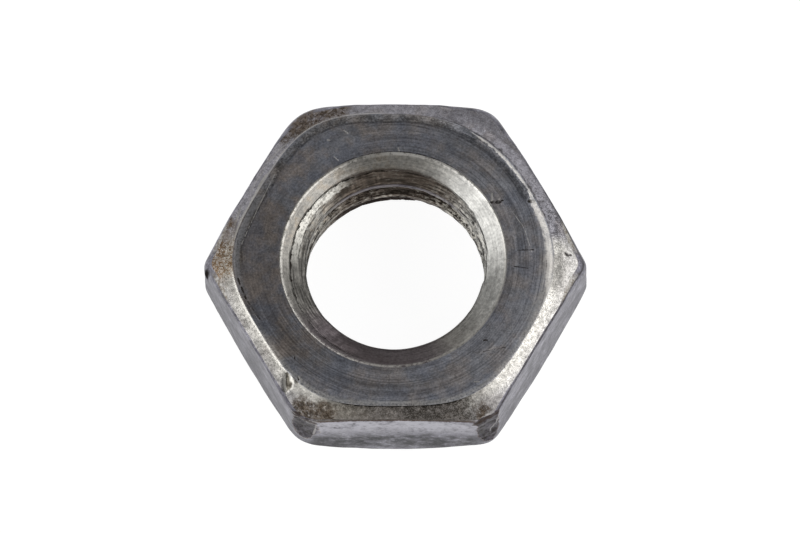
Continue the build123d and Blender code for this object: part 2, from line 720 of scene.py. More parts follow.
smooth = through("GeometryNodeSetShadeSmooth", skin)
dressed = through("GeometryNodeRealizeInstances", smooth.outputs[0]).outputs[0]
for finish, material in enumerate(materials):
    stored = tree.nodes.new("GeometryNodeInputNamedAttribute")
    stored.data_type = "INT"
    stored.inputs["Name"].default_value = "finish"
    node = through("GeometryNodeSetMaterial", dressed)
    chosen = Field(tree, stored.outputs["Attribute"]).math("COMPARE", finish, 0.5)
    plug(tree, chosen, node.inputs["Selection"])
    node.inputs["Material"].default_value = material
    dressed = node.outputs[0]
tree.links.new(dressed, group_output.inputs[0])

nut = bpy.data.objects.new("nut", bpy.data.meshes.new("nut"))
bpy.context.scene.collection.objects.link(nut)
modifier = nut.modifiers.new("rule", "NODES")
modifier.node_group = tree
for identifier, value in chosen_sizes.items():
    modifier[identifier] = value
shape = bpy.data.meshes.new_from_object(nut.evaluated_get(bpy.context.evaluated_depsgraph_get()))
nut.modifiers.clear()
nut.data = shape
shape.calc_loop_triangles()
print("nut:", len(shape.vertices), "points,", len(shape.loop_triangles), "triangles")

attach(nut, "root")
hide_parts("jam_nut")

# %% [markdown]
# ## Helpers for the finishes
#
# All four finishes are steel. What differs is how much bare metal shows through the dark
# oxide, how rough it is, and which way the marks run. Effects that several finishes share are
# shader node groups with named inputs, each built once and placed with its own values.

# %% Helpers for shader groups
def start_group(name, **usual):
    """A shader group with named inputs. A triple is a vector input, anything else a number."""
    group = bpy.data.node_groups.new(name, "ShaderNodeTree")
    entry = group.nodes.new("NodeGroupInput")
    fields = []
    for label, value in usual.items():
        kind = "NodeSocketVector" if isinstance(value, tuple) else "NodeSocketFloat"
        socket = group.interface.new_socket(label.replace("_", " "), in_out="INPUT", socket_type=kind)
        socket.default_value = value
        output = entry.outputs[socket.name]
        fields.append(output if isinstance(value, tuple) else Field(group, output))
    return group, fields


def finish_group(group, **results):
    """Give a shader group its named outputs."""
    leave = group.nodes.new("NodeGroupOutput")
    for label, value in results.items():
        group.interface.new_socket(label.replace("_", " "), in_out="OUTPUT", socket_type="NodeSocketFloat")
        plug(group, value, leave.inputs[-2])
    print("shared effect:", group.name, "with", len(group.nodes), "nodes")


def place_group(tree, group, **values):
    """Put a group into a material and give back its outputs."""
    node = tree.nodes.new("ShaderNodeGroup")
    node.node_tree = group
    for label, value in values.items():
        plug(tree, value, node.inputs[label.replace("_", " ")])
    fields = [Field(tree, socket) for socket in node.outputs]
    return fields[0] if len(fields) == 1 else fields


def object_millimetres(tree):
    """Object coordinates in millimetres."""
    coordinates = tree.nodes.new("ShaderNodeTexCoord")
    return vector_math(tree, "SCALE", coordinates.outputs["Object"], 1 / mm)


print("the finishes are", ", ".join(finish_names))

# %% [markdown]
# ### Where a point is round the nut
#
# Nearly every mark on a nut runs round its axis or sits on one side of it. So the first
# group turns a place on the surface into its distance from the axis, its direction as a
# cosine and a sine, and its level. The groups after it build on that.

# %% Shared effect: where a point is round the nut
ring_place, _ = start_group("place on the nut")
ring_x, ring_y, ring_z = separate(ring_place, object_millimetres(ring_place))
ring_radius = (ring_x * ring_x + ring_y * ring_y).math("SQRT")
finish_group(
    ring_place,
    Radius=ring_radius,
    Cosine=ring_x / ring_radius,
    Sine=ring_y / ring_radius,
    Level=ring_z)

# %% [markdown]
# ### Marks that run round
#
# A lathe leaves fine grooves round the axis, and spanner jaws leave smears that run level
# round the outside. Both are noise that changes slowly with the angle and quickly across it.
# Feeding the angle as a cosine and a sine keeps the noise free of a seam.

# %% Shared effect: marks round the axis
ring_marks, (reach, across, upright) = start_group(
    "marks round the axis", Reach=1.2, Across=10.0, Upright=10.0)
radius, cosine, sine, level = place_group(ring_marks, ring_place)
wander = noise(ring_marks, object_millimetres(ring_marks), 0.5, 2.0) * 0.12
stretched = combine(ring_marks, cosine * reach, sine * reach, (radius + wander) * across + level * upright)
finish_group(ring_marks, Marks=noise(ring_marks, stretched, 1.0, 3.0, 0.6))

# %% [markdown]
# ### One side of the nut
#
# Wear is never even: one side has been rubbed and another has sat in dirt, and on some sides
# light and shade are painted in as well. This group is a mask that is one towards a given
# direction and fades to both sides of it. It compares directions by their cosine, so nothing
# jumps where an angle passes half a turn.

# %% Shared effect: one side of the nut
one_side, (towards_angle, half_width, fade) = start_group(
    "one side", Towards=0.0, Half_width=30.0, Fade=15.0)
_, cosine, sine, _ = place_group(one_side, ring_place)
heading = towards_angle * degree
facing = cosine * heading.math("COSINE") + sine * heading.math("SINE")
away = facing.math("MINIMUM", 1.0).math("ARCCOSINE") / degree
finish_group(one_side, Mask=away.ramp(half_width + fade, half_width))

# %% [markdown]
# ### Scratches
#
# A scratch is a straight stroke with a width. A real one wavers and skips, so one noise
# varies its width, and another breaks it up as much as its gaps ask for.

# %% Shared effect: a scratch between two places
scratch, (start, end, width, gaps) = start_group(
    "scratch", Start=(0, 0, 0), End=(1, 0, 0), Width=0.05, Gaps=0.0)
here = object_millimetres(scratch)
waver = noise(scratch, here, 3.0, 3.0, 0.7) * 1.2 + 0.4
away = distance_to_stroke(scratch, here, start, end) * waver
whole = 1 - noise(scratch, here, 3.5, 2.0).ramp(0.55, 0.4) * gaps
finish_group(scratch, Mask=away.ramp(width, width * 0.35) * whole)

# %% [markdown]
# ### Rust
#
# Rust starts in one place and creeps outwards. Its stain is a ball round that place with a
# ragged edge, and its grains are the parts of the stain where a fine noise is low.

# %% Shared effect: rust that spreads from one place
rust_bloom, (centre, reach) = start_group("rust bloom", Centre=(0, 0, 0), Reach=1.2)
here = object_millimetres(rust_bloom)
from_centre = vector_math(rust_bloom, "SUBTRACT", here, centre)
away = Field(rust_bloom, vector_math(rust_bloom, "LENGTH", from_centre))
ragged = noise(rust_bloom, here, 1.1, 4.0, 0.65) * 1.6 - 0.8
grains = noise(rust_bloom, here, 4.5, 5.0, 0.8)
stain = (away + ragged).ramp(reach, reach * 0.45)
finish_group(rust_bloom, Grains=stain * grains.ramp(0.56, 0.46), Stain=stain)

# %% [markdown]
# ### A finish in layers
#
# Each finish starts as one colour, and layers go over it in the order in which they came to
# the real nut: oxide, then wear, then dirt and scratches. Some layers are painted highlights
# and painted shade. At the end the colour, a roughness and a height feed one Principled
# shader. Dirt and rust aren't metal and don't shine, so a mask takes the metal away under
# them, and the shader's gloss on anything but metal is off.

# %% A steel finish that is built up in layers
def strongest(masks):
    """Whichever mask is strongest at each point."""
    first, *others = masks
    for mask in others:
        first = first.math("MAXIMUM", mask)
    return first


class Steel:
    """One finish: its material, and the colour that has been laid down so far."""

    def __init__(self, finish, colour):
        self.material = materials[finish]
        self.material.use_nodes = True
        self.tree = self.material.node_tree
        self.here = object_millimetres(self.tree)
        self.colour = colour

    def mix(self, share, first, second):
        """Two colours mixed."""
        node = self.tree.nodes.new("ShaderNodeMix")
        node.data_type = "RGBA"
        for number, value in ((0, share), (6, first), (7, second)):
            plug(self.tree, value, node.inputs[number])
        return node.outputs[2]

    def paint(self, share, colour):
        """Lay a colour over what is there."""
        self.colour = self.mix(share, self.colour, colour)

    def shade(self, factor):
        """Make what is there darker or lighter."""
        self.colour = vector_math(self.tree, "SCALE", self.colour, factor)

    def noise(self, scale, detail, roughness=0.5, moved=(0, 0, 0)):
        """Soft variation, in another place of the pattern where it is moved."""
        place = vector_math(self.tree, "ADD", self.here, moved) if any(moved) else self.here
        return noise(self.tree, place, scale, detail, roughness)

    def stored(self, name):
        """A distance that the geometry tree stored, in millimetres."""
        node = self.tree.nodes.new("ShaderNodeAttribute")
        node.attribute_name = name
        return Field(self.tree, node.outputs["Fac"])

    def side(self, towards, half_width, fade):
        """A mask for one side of the nut, in degrees."""
        return place_group(self.tree, one_side, Towards=towards, Half_width=half_width, Fade=fade)

    def marks_round(self, reach, across, upright):
        """Noise drawn out round the axis."""
        return place_group(self.tree, ring_marks, Reach=reach, Across=across, Upright=upright)

    def scratches(self, strokes):
        """A mask for a list of strokes, each with a start, an end, a width and its gaps."""
        return strongest([
            place_group(self.tree, scratch, Start=polar(*start), End=polar(*end), Width=width, Gaps=gaps)
            for start, end, width, gaps in strokes])

    def rust(self, blooms):
        """Two masks for a list of blooms, each with a centre and a reach: grains and stain."""
        placed = [place_group(self.tree, rust_bloom, Centre=polar(*centre), Reach=reach)
                  for centre, reach in blooms]
        return [strongest(masks) for masks in zip(*placed)]

    def report(self, step):
        """Say how far this finish has come."""
        print(f"{self.material.name}: {step}, {len(self.tree.nodes)} nodes so far")

    def finish(self, roughness, relief, relief_depth, covered):
        """Feed one Principled shader. The relief's depth is in millimetres."""
        shader = self.tree.nodes["Principled BSDF"]
        bump = self.tree.nodes.new("ShaderNodeBump")
        bump.inputs["Distance"].default_value = relief_depth * mm
        plug(self.tree, relief, bump.inputs["Height"])
        plug(self.tree, bump.outputs[0], shader.inputs["Normal"])
        plug(self.tree, self.colour, shader.inputs["Base Color"])
        plug(self.tree, roughness, shader.inputs["Roughness"])
        plug(self.tree, 1 - covered, shader.inputs["Metallic"])
        shader.inputs["Specular IOR Level"].default_value = 0.0
        self.report("finished")


print(len(materials), "finishes are ready to be built up")

# %% [markdown]
# ### The colours of steel
#
# Clean steel is a light, warm grey. A thin oxide makes it blue or brown, a thicker one makes
# it dark grey, and old rust and baked oil are nearly black. Several finishes share these
# colours, and the ones that belong to a single mark stand beside that mark.

# %% Colours that the finishes share
slate = (0.205, 0.208, 0.227)
blue_oxide = (0.165, 0.177, 0.214)
umber = (0.252, 0.22, 0.20)
bare_steel = (0.60, 0.58, 0.54)
grey_steel = (0.30, 0.292, 0.32)
lilac_steel = (0.165, 0.16, 0.185)
bright_steel = (0.72, 0.70, 0.65)
black_dirt = (0.03, 0.026, 0.024)
print("bare steel throws back", round(100 * bare_steel[1]), "% of the green light that meets it")

# %% [markdown]
# ### Turned face: oxide over lathe rings
#
# A single point tool left rings on the face, and heat and oil left a thin oxide on them that
# is brown in places and blue in others. Two noises with soft limits share the face out
# between the two colours, and the rings only make them a little darker and lighter.

# %% Oxide over lathe rings
face_steel = Steel(TURNED, slate)
marks = face_steel.marks_round(1.6, 12.0, 0.0)
rings = face_steel.marks_round(0.8, 2.2, 0.0)
patches = face_steel.noise(0.6, 5.0, 0.62)
bluing = face_steel.noise(0.6, 5.0, 0.62, moved=(31.0, 7.0, 0.0))
blotches = face_steel.noise(1.7, 4.0, 0.65, moved=(5.0, 17.0, 0.0))
fine = face_steel.noise(8.0, 4.0, 0.75)
left_side = face_steel.side(190, 28, 26)
upper_left = face_steel.side(150, 35, 25)
open_side = face_steel.side(-15, 35, 50)
browned = (patches + left_side * 0.04 + upper_left * 0.03).ramp(0.42, 0.62)
face_steel.paint(browned * (strongest([left_side, upper_left]) * 0.4 + 0.55), umber)
face_steel.paint(bluing.ramp(0.42, 0.64) * 0.62, blue_oxide)
face_steel.shade(blotches.ramp(0.3, 0.7, 0.82, 1.2))
face_steel.shade(fine.ramp(0.25, 0.75, 0.66, 1.42))
ring_contrast = 1 - upper_left * 0.65
face_steel.shade(1 + marks.ramp(0.25, 0.75, -0.3, 0.3) * ring_contrast)
face_steel.shade(1 + rings.ramp(0.3, 0.7, -0.18, 0.18) * ring_contrast)
face_steel.shade(open_side * 0.25 + 1.02 - left_side * 0.26 + upper_left * 0.1)
face_steel.report("oxide over lathe rings")

# %% [markdown]
# ### Turned face: the worn edge
#
# Oxide wears off first where the nut has slid on another part. On the open side the edge is
# rubbed to a bright band, and a dark zone of painted shade lies inside it. On the far side
# the lathe never reached bright metal, and a rough ledge is left. The distance from the edge
# that the geometry tree stored says where each of them lies.

# %% The worn edge
rubbed_rim = (0.66, 0.635, 0.60)
ledge_brown = (0.165, 0.155, 0.14)
ledge_grey = (0.31, 0.31, 0.325)

beyond_edge = face_steel.stored("beyond_edge")
lower_side = face_steel.side(-75, 65, 20)
face_steel.paint(beyond_edge.ramp(-0.3, -0.1) * lower_side * fine.ramp(0.3, 0.6) * 0.42, bare_steel)
face_steel.shade(1 + lower_side * beyond_edge.ramp(-0.9, -0.2) * 0.3)

on_face = beyond_edge.ramp(0.02, -0.03)
uneven = beyond_edge + (blotches - 0.5) * 0.3 + (fine - 0.5) * 0.2
band_reach = strongest([face_steel.side(8, 12, 14) * 0.42, face_steel.side(42, 12, 12) * 0.2])
worn_band = (uneven + band_reach).ramp(0.0, 0.08) * band_reach.ramp(0.02, 0.1) * on_face
band_polish = fine.ramp(0.3, 0.55, 0.3, 1.0) * blotches.ramp(0.36, 0.56, 0.45, 1.0)
face_steel.paint(worn_band * band_polish * 0.9, rubbed_rim)
smear = face_steel.side(-8, 12, 10) * beyond_edge.ramp(-0.9, -0.2) * marks.ramp(0.35, 0.6)
face_steel.paint(smear * 0.5, bare_steel)
# Painted shade: a mottled dark zone just inside the bright band.
painted_shade_band = uneven.ramp(-0.95, -0.4) * (1 - worn_band) * face_steel.side(43, 15, 12)
face_steel.shade(1 - painted_shade_band * (fine + blotches).ramp(1.2, 0.8, 0.5, 1.0) * 0.62)

ledge_side = face_steel.side(125, 52, 14)
wavy = beyond_edge + (face_steel.noise(0.9, 3.0) - 0.5) * 0.12
ledge = wavy.ramp(-0.5, -0.4) * on_face * ledge_side
face_steel.paint(ledge * 0.35, ledge_brown)
face_steel.shade(1 + ledge * (fine + blotches).ramp(0.85, 1.15, -0.4, 0.2))
pale_ledge = wavy.ramp(-0.42, -0.25) * on_face * face_steel.side(174, 14, 12)
face_steel.paint(pale_ledge * fine.ramp(0.3, 0.6, 0.3, 0.75), ledge_grey)
groove_line = wavy.ramp(-0.58, -0.5) * wavy.ramp(-0.38, -0.46)
face_steel.shade(1 - groove_line * ledge_side * blotches.ramp(0.35, 0.6) * 0.6)
face_steel.report("worn edge")

# %% [markdown]
# ### Turned face: the mouth of the hole
#
# Dirt has caught on the burr round the mouth, and small bright specks show where the burr has
# been rubbed. The mouth is a little off centre, so the distance from it is worked out in the
# same way as in the shape.

# %% The mouth of the hole
speck_white = (0.7, 0.69, 0.65)

radius, cosine, sine, _ = place_group(face_steel.tree, ring_place)
off_axis = cosine * math.cos(mouth_heading) + sine * math.sin(mouth_heading)
beyond_mouth = radius - (off_axis * (mouth_shift / mm) + mouth_size / mm)
mouth_line = beyond_mouth.ramp(0.03, 0.06) * beyond_mouth.ramp(0.13, 0.09) * blotches.ramp(0.36, 0.5)
face_steel.paint(mouth_line * face_steel.side(88, 24, 14) * 0.9, black_dirt)
mouth_specks = beyond_mouth.ramp(0.1, 0.02) * fine.ramp(0.52, 0.6) * face_steel.side(75, 32, 14)
face_steel.paint(mouth_specks * 0.8, speck_white)
face_steel.report("mouth of the hole")

# %% [markdown]
# ### Turned face: scratches and knocks
#
# The scratches and knocks lie where they fell, so each one is listed: dark where grease has
# filled it, light where it is fresh. The dark ones also take the metal's shine away and cut
# into the relief.

# %% Scratches and knocks
dark_scratches = [
    # start, end, width, gaps
    ((6.97, 4.3), (7.85, 4.0), 0.055, 0.3),
    ((6.75, -3.8), (7.55, -4.3), 0.05, 0.3),
    ((8.35, 24.4), (9.0, 23.3), 0.15, 0.0),
    ((6.44, 31.8), (6.85, 30.0), 0.16, 0.0),
    ((6.8, 30.6), (7.05, 29.8), 0.08, 0.0),
    ((8.93, 187.4), (8.89, 189.4), 0.1, 0.0),
    ((8.83, 191.0), (8.74, 195.5), 0.1, 0.5),
    ((8.68, 197.0), (8.44, 205.0), 0.08, 0.6),
    ((8.15, 226.0), (8.2, 226.6), 0.06, 0.0),
    ((8.92, 232.3), (9.0, 232.9), 0.1, 0.3),
    ((7.0, -44.0), (7.12, -43.0), 0.08, 0.3),
    ((7.3, -50.0), (8.2, -40.0), 0.03, 0.8),
]
light_scratches = [
    ((7.25, 22.0), (7.55, 14.0), 0.025, 0.8),
    ((7.55, 14.0), (7.75, 3.0), 0.025, 0.8),
    ((8.0, 109.6), (8.25, 110.6), 0.045, 0.0),
    ((8.05, 117.6), (8.12, 118.2), 0.07, 0.0),
    ((6.75, 118.6), (7.05, 119.4), 0.045, 0.0),
    ((6.5, 88.0), (6.66, 88.5), 0.06, 0.0),
    ((6.5, 32.6), (6.75, 35.5), 0.08, 0.0),
    ((6.75, 30.2), (6.95, 31.5), 0.04, 0.0),
    ((8.72, 174.0), (8.46, 166.0), 0.03, 0.9),
    ((8.46, 166.0), (8.34, 158.0), 0.035, 0.7),
    ((8.34, 158.0), (8.36, 151.0), 0.045, 0.4),
    ((8.36, 151.0), (8.55, 142.0), 0.03, 0.9),
    ((8.4, -1.0), (8.5, 1.0), 0.06, 0.3),
    ((7.75, -43.0), (7.6, -45.5), 0.05, 0.3),
    ((8.75, -57.0), (8.6, -58.5), 0.05, 0.0),
    ((8.3, -20.0), (8.7, -12.0), 0.05, 0.8),
    ((8.86, 232.2), (8.92, 233.9), 0.07, 0.0),
]
scored = face_steel.scratches(dark_scratches)
face_steel.paint(scored, black_dirt)
bright = face_steel.scratches(light_scratches)
face_steel.paint(bright * 0.55, bare_steel)
print(len(dark_scratches), "dark scratches and", len(light_scratches), "light ones")
face_steel.finish(
    roughness=fine * 0.25 + 0.27 + patches * 0.1,
    relief=marks * 0.45 + fine * 0.5 - scored * 1.5 + bright * 0.5,
    relief_depth=0.011,
    covered=scored * 0.8)

# %% [markdown]
# ### Forged chamfer: polished grain
#
# The chamfers kept a fine grain from the forging scale. Where hands and spanners reach them
# the grain is polished bright, and elsewhere it has stayed grey or gone brown. Three noises
# of different scale give the grain, and masks for the sides say how bright each one is.

# %% Polished grain
speck_brown = (0.16, 0.14, 0.12)
tan_scale = (0.31, 0.27, 0.215)
dark_scale = (0.066, 0.058, 0.048)
speckle_black = (0.05, 0.045, 0.036)
rubbed_corner = (0.52, 0.505, 0.475)

chamfer_steel = Steel(FORGED, grey_steel)
beyond_edge = chamfer_steel.stored("beyond_edge")
fine = chamfer_steel.noise(14.0, 3.0, 0.7)
grain = chamfer_steel.noise(3.2, 5.0, 0.75)
broad = chamfer_steel.noise(0.9, 4.0, 0.6)
polish_and_sheen = strongest([chamfer_steel.side(-29, 33, 7), chamfer_steel.side(215, 37, 12)])
chamfer_steel.paint(polish_and_sheen * (beyond_edge + (broad - 0.5) * 0.8).ramp(1.0, 0.25, 0.45, 1.0), bare_steel)
chamfer_steel.paint(broad.ramp(0.48, 0.66) * 0.35, umber)
chamfer_steel.shade(grain.ramp(0.32, 0.68, 0.68, 1.38))
chamfer_steel.shade(fine.ramp(0.3, 0.7, 0.7, 1.3))
back_left = chamfer_steel.side(155, 18, 12)
chamfer_steel.shade(1 + back_left * 0.4)
specks = chamfer_steel.noise(9.0, 3.0, 0.7).ramp(0.44, 0.34)
chamfer_steel.paint(specks * 0.3, speck_brown)
front = chamfer_steel.side(-90, 22, 8)
chamfer_steel.paint(front * 0.62, tan_scale)
clouds = broad * 0.6 + grain * 0.7 + fine * 0.5
chamfer_steel.shade(1 + front * (grain + fine * 0.5).ramp(0.6, 0.9, -0.15, 0.3))
chamfer_steel.paint(front * (clouds + beyond_edge * 0.5).ramp(1.15, 0.8) * 0.6, dark_scale)
near_right = chamfer_steel.side(-75, 9, 7)
chamfer_steel.shade(1 - near_right * 0.25)
speckled = near_right * (fine + (grain - 0.5) * 0.6).ramp(0.56, 0.44)
chamfer_steel.paint(speckled * 0.6, speckle_black)
upper_right = chamfer_steel.side(42, 24, 16)
chamfer_steel.shade(1 - upper_right * 0.4)
chamfer_steel.shade(1 - chamfer_steel.side(208, 20, 14) * 0.4)
right_corner = chamfer_steel.side(-8, 11, 8)
chamfer_steel.paint(right_corner * 0.5, rubbed_corner)
chamfer_steel.shade(1 + chamfer_steel.side(-4, 18, 8) * (fine + grain * 0.6).ramp(0.6, 1.0, -0.35, 0.2))
chamfer_steel.report("polished grain")

# %% [markdown]
# ### Forged chamfer: edges and rust
#
# Dirt and painted shade sit in the corner under the face's edge on some sides, and on others
# the edge is polished to a pale line. Rust holds in the corners of the nut, where no spanner
# rubs it off: nearly black where it is thick, and orange brown where it is fresh.

# %% Edges and rust
rust_stain = (0.16, 0.122, 0.088)
black_rust = (0.05, 0.036, 0.026)
pale_rust = (0.27, 0.215, 0.15)
orange_rust = (0.145, 0.085, 0.038)
edge_grey = (0.56, 0.545, 0.53)

streaks = chamfer_steel.marks_round(4.0, 6.0, 0.0)
streaked = beyond_edge.ramp(0.05, 0.15) * beyond_edge.ramp(0.75, 0.3) * streaks.ramp(0.45, 0.55)
chamfer_steel.paint(back_left * streaked * 0.7, bare_steel)
ragged_edge = beyond_edge + (grain - 0.5) * 0.25
past_edge = beyond_edge.ramp(-0.02, 0.03)
# Dirt and painted shade in the crease under the face's edge.
edge_dirt_and_shade = past_edge * ragged_edge.ramp(0.16, 0.08) * strongest([front, upper_right * 0.7])
chamfer_steel.paint(edge_dirt_and_shade * 0.95, black_dirt)
chamfer_steel.paint(chamfer_steel.side(200, 42, 12) * beyond_edge.ramp(0.22, 0.12) * 0.7, bright_steel)
old_rust = [
    # centre, reach
    ((10.0, 166.0, 0.5), 0.7),
    ((9.9, 120.0, 0.5), 1.7),
    ((9.7, 111.0, 0.4), 1.1),
    ((9.8, 127.5, 0.45), 0.95),
    ((10.1, 240.0, 0.7), 1.0),
    ((10.0, 246.5, 0.75), 1.05),
    ((10.1, 299.0, 0.7), 0.6),
]
rusty, stained = chamfer_steel.rust(old_rust)
chamfer_steel.paint(stained * grain.ramp(0.66, 0.42, 0.2, 0.85), rust_stain)
chamfer_steel.paint(rusty * 0.75, black_rust)
_, corner_stain = chamfer_steel.rust([((9.9, 179.0, 0.5), 1.75)])
_, upper_stain = chamfer_steel.rust([((9.8, 169.0, 0.5), 1.2)])
fresh_rust = strongest([corner_stain, upper_stain * 0.45])
flecks = chamfer_steel.noise(8.0, 4.0, 0.8)
chamfer_steel.paint(fresh_rust * 0.4, pale_rust)
chamfer_steel.paint(fresh_rust * (flecks + broad * 0.4).ramp(0.62, 0.73) * 0.9, orange_rust)
edge_line = past_edge * ragged_edge.ramp(0.17, 0.08) * chamfer_steel.side(132, 30, 14)
chamfer_steel.paint(edge_line * 0.75, edge_grey)
print(len(old_rust), "blooms of old rust and two of fresh rust")

# %% [markdown]
# ### Forged chamfer: a gouge and nicks
#
# Something hard tore a gouge in the near left corner and pushed bright burrs up round it,
# and sharp edges nicked the far right side and the right corner. The strokes follow the
# dents in the shape.

# %% A gouge and nicks
gouge_black = (0.055, 0.046, 0.034)
gouge_brown = (0.17, 0.155, 0.125)
burr_white = (0.75, 0.73, 0.70)

gouges = [
    # start, end, width, gaps
    ((9.15, 228.5, 0.1), (9.75, 231.2, 0.5), 0.24, 0.0),
    ((9.3, 231.0, 0.2), (9.6, 231.9, 0.4), 0.2, 0.0),
    ((9.05, 232.3, 0.1), (9.12, 232.8, 0.1), 0.18, 0.0),
]
gouge_dirt = chamfer_steel.mix(grain.ramp(0.45, 0.6), gouge_black, gouge_brown)
chamfer_steel.paint(chamfer_steel.scratches(gouges) * 0.9, gouge_dirt)
burrs = [
    ((9.22, 227.6, 0.2), (9.58, 229.5, 0.4), 0.11, 0.0),
    ((9.58, 229.5, 0.4), (9.9, 231.7, 0.6), 0.11, 0.0),
    ((9.07, 229.3, 0.1), (9.22, 231.0, 0.2), 0.15, 0.0),
    ((9.22, 231.0, 0.2), (9.24, 232.2, 0.2), 0.14, 0.0),
    ((9.24, 232.2, 0.2), (9.5, 232.8, 0.35), 0.12, 0.0),
    ((9.5, 232.8, 0.35), (9.92, 232.0, 0.6), 0.12, 0.0),
    ((9.2, 232.2, 0.2), (9.2, 233.8, 0.2), 0.13, 0.0),
]
chamfer_steel.paint(chamfer_steel.scratches(burrs) * 0.85, bright_steel)
nicks = [
    ((8.9, 23.4, 0.1), (9.1, 23.0, 0.15), 0.2, 0.0),
    ((9.68, 2.7, 0.45), (9.8, 2.3, 0.52), 0.13, 0.0),
    ((9.8, 2.3, 0.52), (9.98, 2.5, 0.62), 0.07, 0.3),
]
nick_burr = [((9.05, 25.3, 0.1), (9.3, 24.6, 0.2), 0.16, 0.0)]
chamfer_steel.paint(chamfer_steel.scratches(nicks) * 0.9, black_dirt)
chamfer_steel.paint(chamfer_steel.scratches(nick_burr) * 0.9, burr_white)
print(len(gouges), "strokes of a gouge,", len(burrs), "burrs and", len(nicks), "nicks")
chamfer_steel.finish(
    roughness=fine * 0.2 + 0.22 + rusty * 0.35,
    relief=fine * 0.4 + grain * 0.6 - specks * 0.3 + rusty * 0.5,
    relief_depth=0.014,
    covered=rusty * 0.5)

# %% [markdown]
# ### Rubbed flats: smeared oxide
#
# Spanner jaws smear the oxide level along the flats, so its noise is drawn out round the
# axis. On the near flat a pale band under the shoulder is a painted reflection, with a line
# of brown dirt above it and a band of painted shade below.

# %% Smeared oxide
pale_lilac = (0.235, 0.23, 0.26)
sheen_lilac = (0.435, 0.427, 0.467)
bend_brown = (0.21, 0.188, 0.162)
dirt_brown = (0.075, 0.045, 0.034)

flat_steel = Steel(RUBBED, lilac_steel)
below_shoulder = flat_steel.stored("below_shoulder")
smears = flat_steel.marks_round(8.0, 0.3, 1.6)
scuffs = flat_steel.marks_round(18.0, 0.5, 7.0)
fine = flat_steel.noise(7.0, 4.0, 0.7)
broad = flat_steel.noise(0.7, 4.0, 0.6)
mottle = flat_steel.noise(2.2, 5.0, 0.72, moved=(3.0, 11.0, 5.0))
flat_steel.paint(broad.ramp(0.4, 0.62), pale_lilac)
flat_steel.shade(smears.ramp(0.3, 0.7, 0.76, 1.25))
flat_steel.shade(scuffs.ramp(0.3, 0.7, 0.76, 1.25))
flat_steel.shade(mottle.ramp(0.35, 0.65, 0.8, 1.2))
flat_steel.shade(fine.ramp(0.3, 0.7, 0.66, 1.36))
front = flat_steel.side(270, 24, 5)
# The pale band under the shoulder of the near flat is a painted reflection.
band_limits = (below_shoulder + mottle * 0.4).ramp(0.15, 0.3) * (below_shoulder + mottle * 3.0).ramp(4.4, 2.6)
polish_and_sheen = band_limits * (mottle * 1.5 + fine * 0.6 + smears * 0.4).ramp(0.85, 1.45)
flat_steel.paint(polish_and_sheen * (front * 0.8 + 0.14), sheen_lilac)
above_shoulder = below_shoulder.ramp(0.06, -0.02) * front
flat_steel.paint(above_shoulder * 0.8, bend_brown)
flat_steel.shade(1 + above_shoulder * (mottle + fine).ramp(0.8, 1.2, -0.35, 0.3))
along_shoulder = (below_shoulder + (mottle - 0.5) * 0.12).math("ABSOLUTE")
brown_line = along_shoulder.ramp(0.07, 0.03) * front * fine.ramp(0.35, 0.55)
flat_steel.paint(brown_line * 0.8, dirt_brown)
# Lower down the near flat, a band of painted shade.
painted_shade_band = below_shoulder.ramp(2.0, 2.9) * below_shoulder.ramp(4.8, 4.1) * front
flat_steel.shade(1 - painted_shade_band * (mottle + smears * 0.5).ramp(0.95, 0.6) * 0.75)
flat_steel.paint(fine.ramp(0.42, 0.3) * 0.3, umber)
flat_steel.shade(below_shoulder.ramp(0.8, 3.8, 1.0, 0.74))
flat_steel.shade(1 - flat_steel.side(210, 22, 12) * 0.18)
flat_steel.shade(1 - flat_steel.side(45, 35, 15) * 0.25)
shoulder_line = below_shoulder.math("ABSOLUTE").ramp(0.10, 0.03) * flat_steel.side(-18, 38, 10)
flat_steel.paint(shoulder_line * scuffs.ramp(0.3, 0.5) * 0.7, black_dirt)
flat_steel.report("smeared oxide")

# %% [markdown]
# ### Rubbed flats: what spills over the shoulder
#
# The bend between a flat and the chamfer belongs to the flats, but at the left and right
# corners the chamfer's bright grain runs out over it, leaving only the tip dull, and at the
# far left corner the chamfer's rust does the same.

# %% What spills over the shoulder
grain_brown = (0.2, 0.17, 0.135)
grain_white = (0.5, 0.485, 0.455)

on_bend = below_shoulder.ramp(0.0, -0.06)
beside_tip = [flat_steel.side(corner, 12, 4) * (1 - flat_steel.side(corner, 2, 4)) for corner in (0, 180)]
bright_grain = flat_steel.mix((fine + mottle * 0.5).ramp(0.6, 0.9), grain_brown, grain_white)
flat_steel.paint(strongest(beside_tip) * on_bend * 0.85, bright_grain)
rusty, stained = flat_steel.rust([((10.35, 122.0, 0.7), 1.1)])
flat_steel.paint(stained * on_bend * mottle.ramp(0.62, 0.42, 0.2, 0.85), rust_stain)
flat_steel.paint(rusty * on_bend * 0.7, black_rust)
print("the chamfer's finish spills over the shoulder at three corners")

# %% [markdown]
# ### Rubbed flats: broken corners
#
# Where a corner broke, the broken surface is grainy and has gone dark, and its rim is partly
# brown and partly rubbed pale. The geometry tree stored how deep each point was inside a
# break, so the colour starts exactly where the shape does.

# %% Broken corners
broken_black = (0.016, 0.011, 0.010)
broken_grey = (0.085, 0.078, 0.09)
worn_lilac = (0.27, 0.262, 0.295)
rim_brown = (0.09, 0.05, 0.038)
rim_grey = (0.36, 0.34, 0.33)

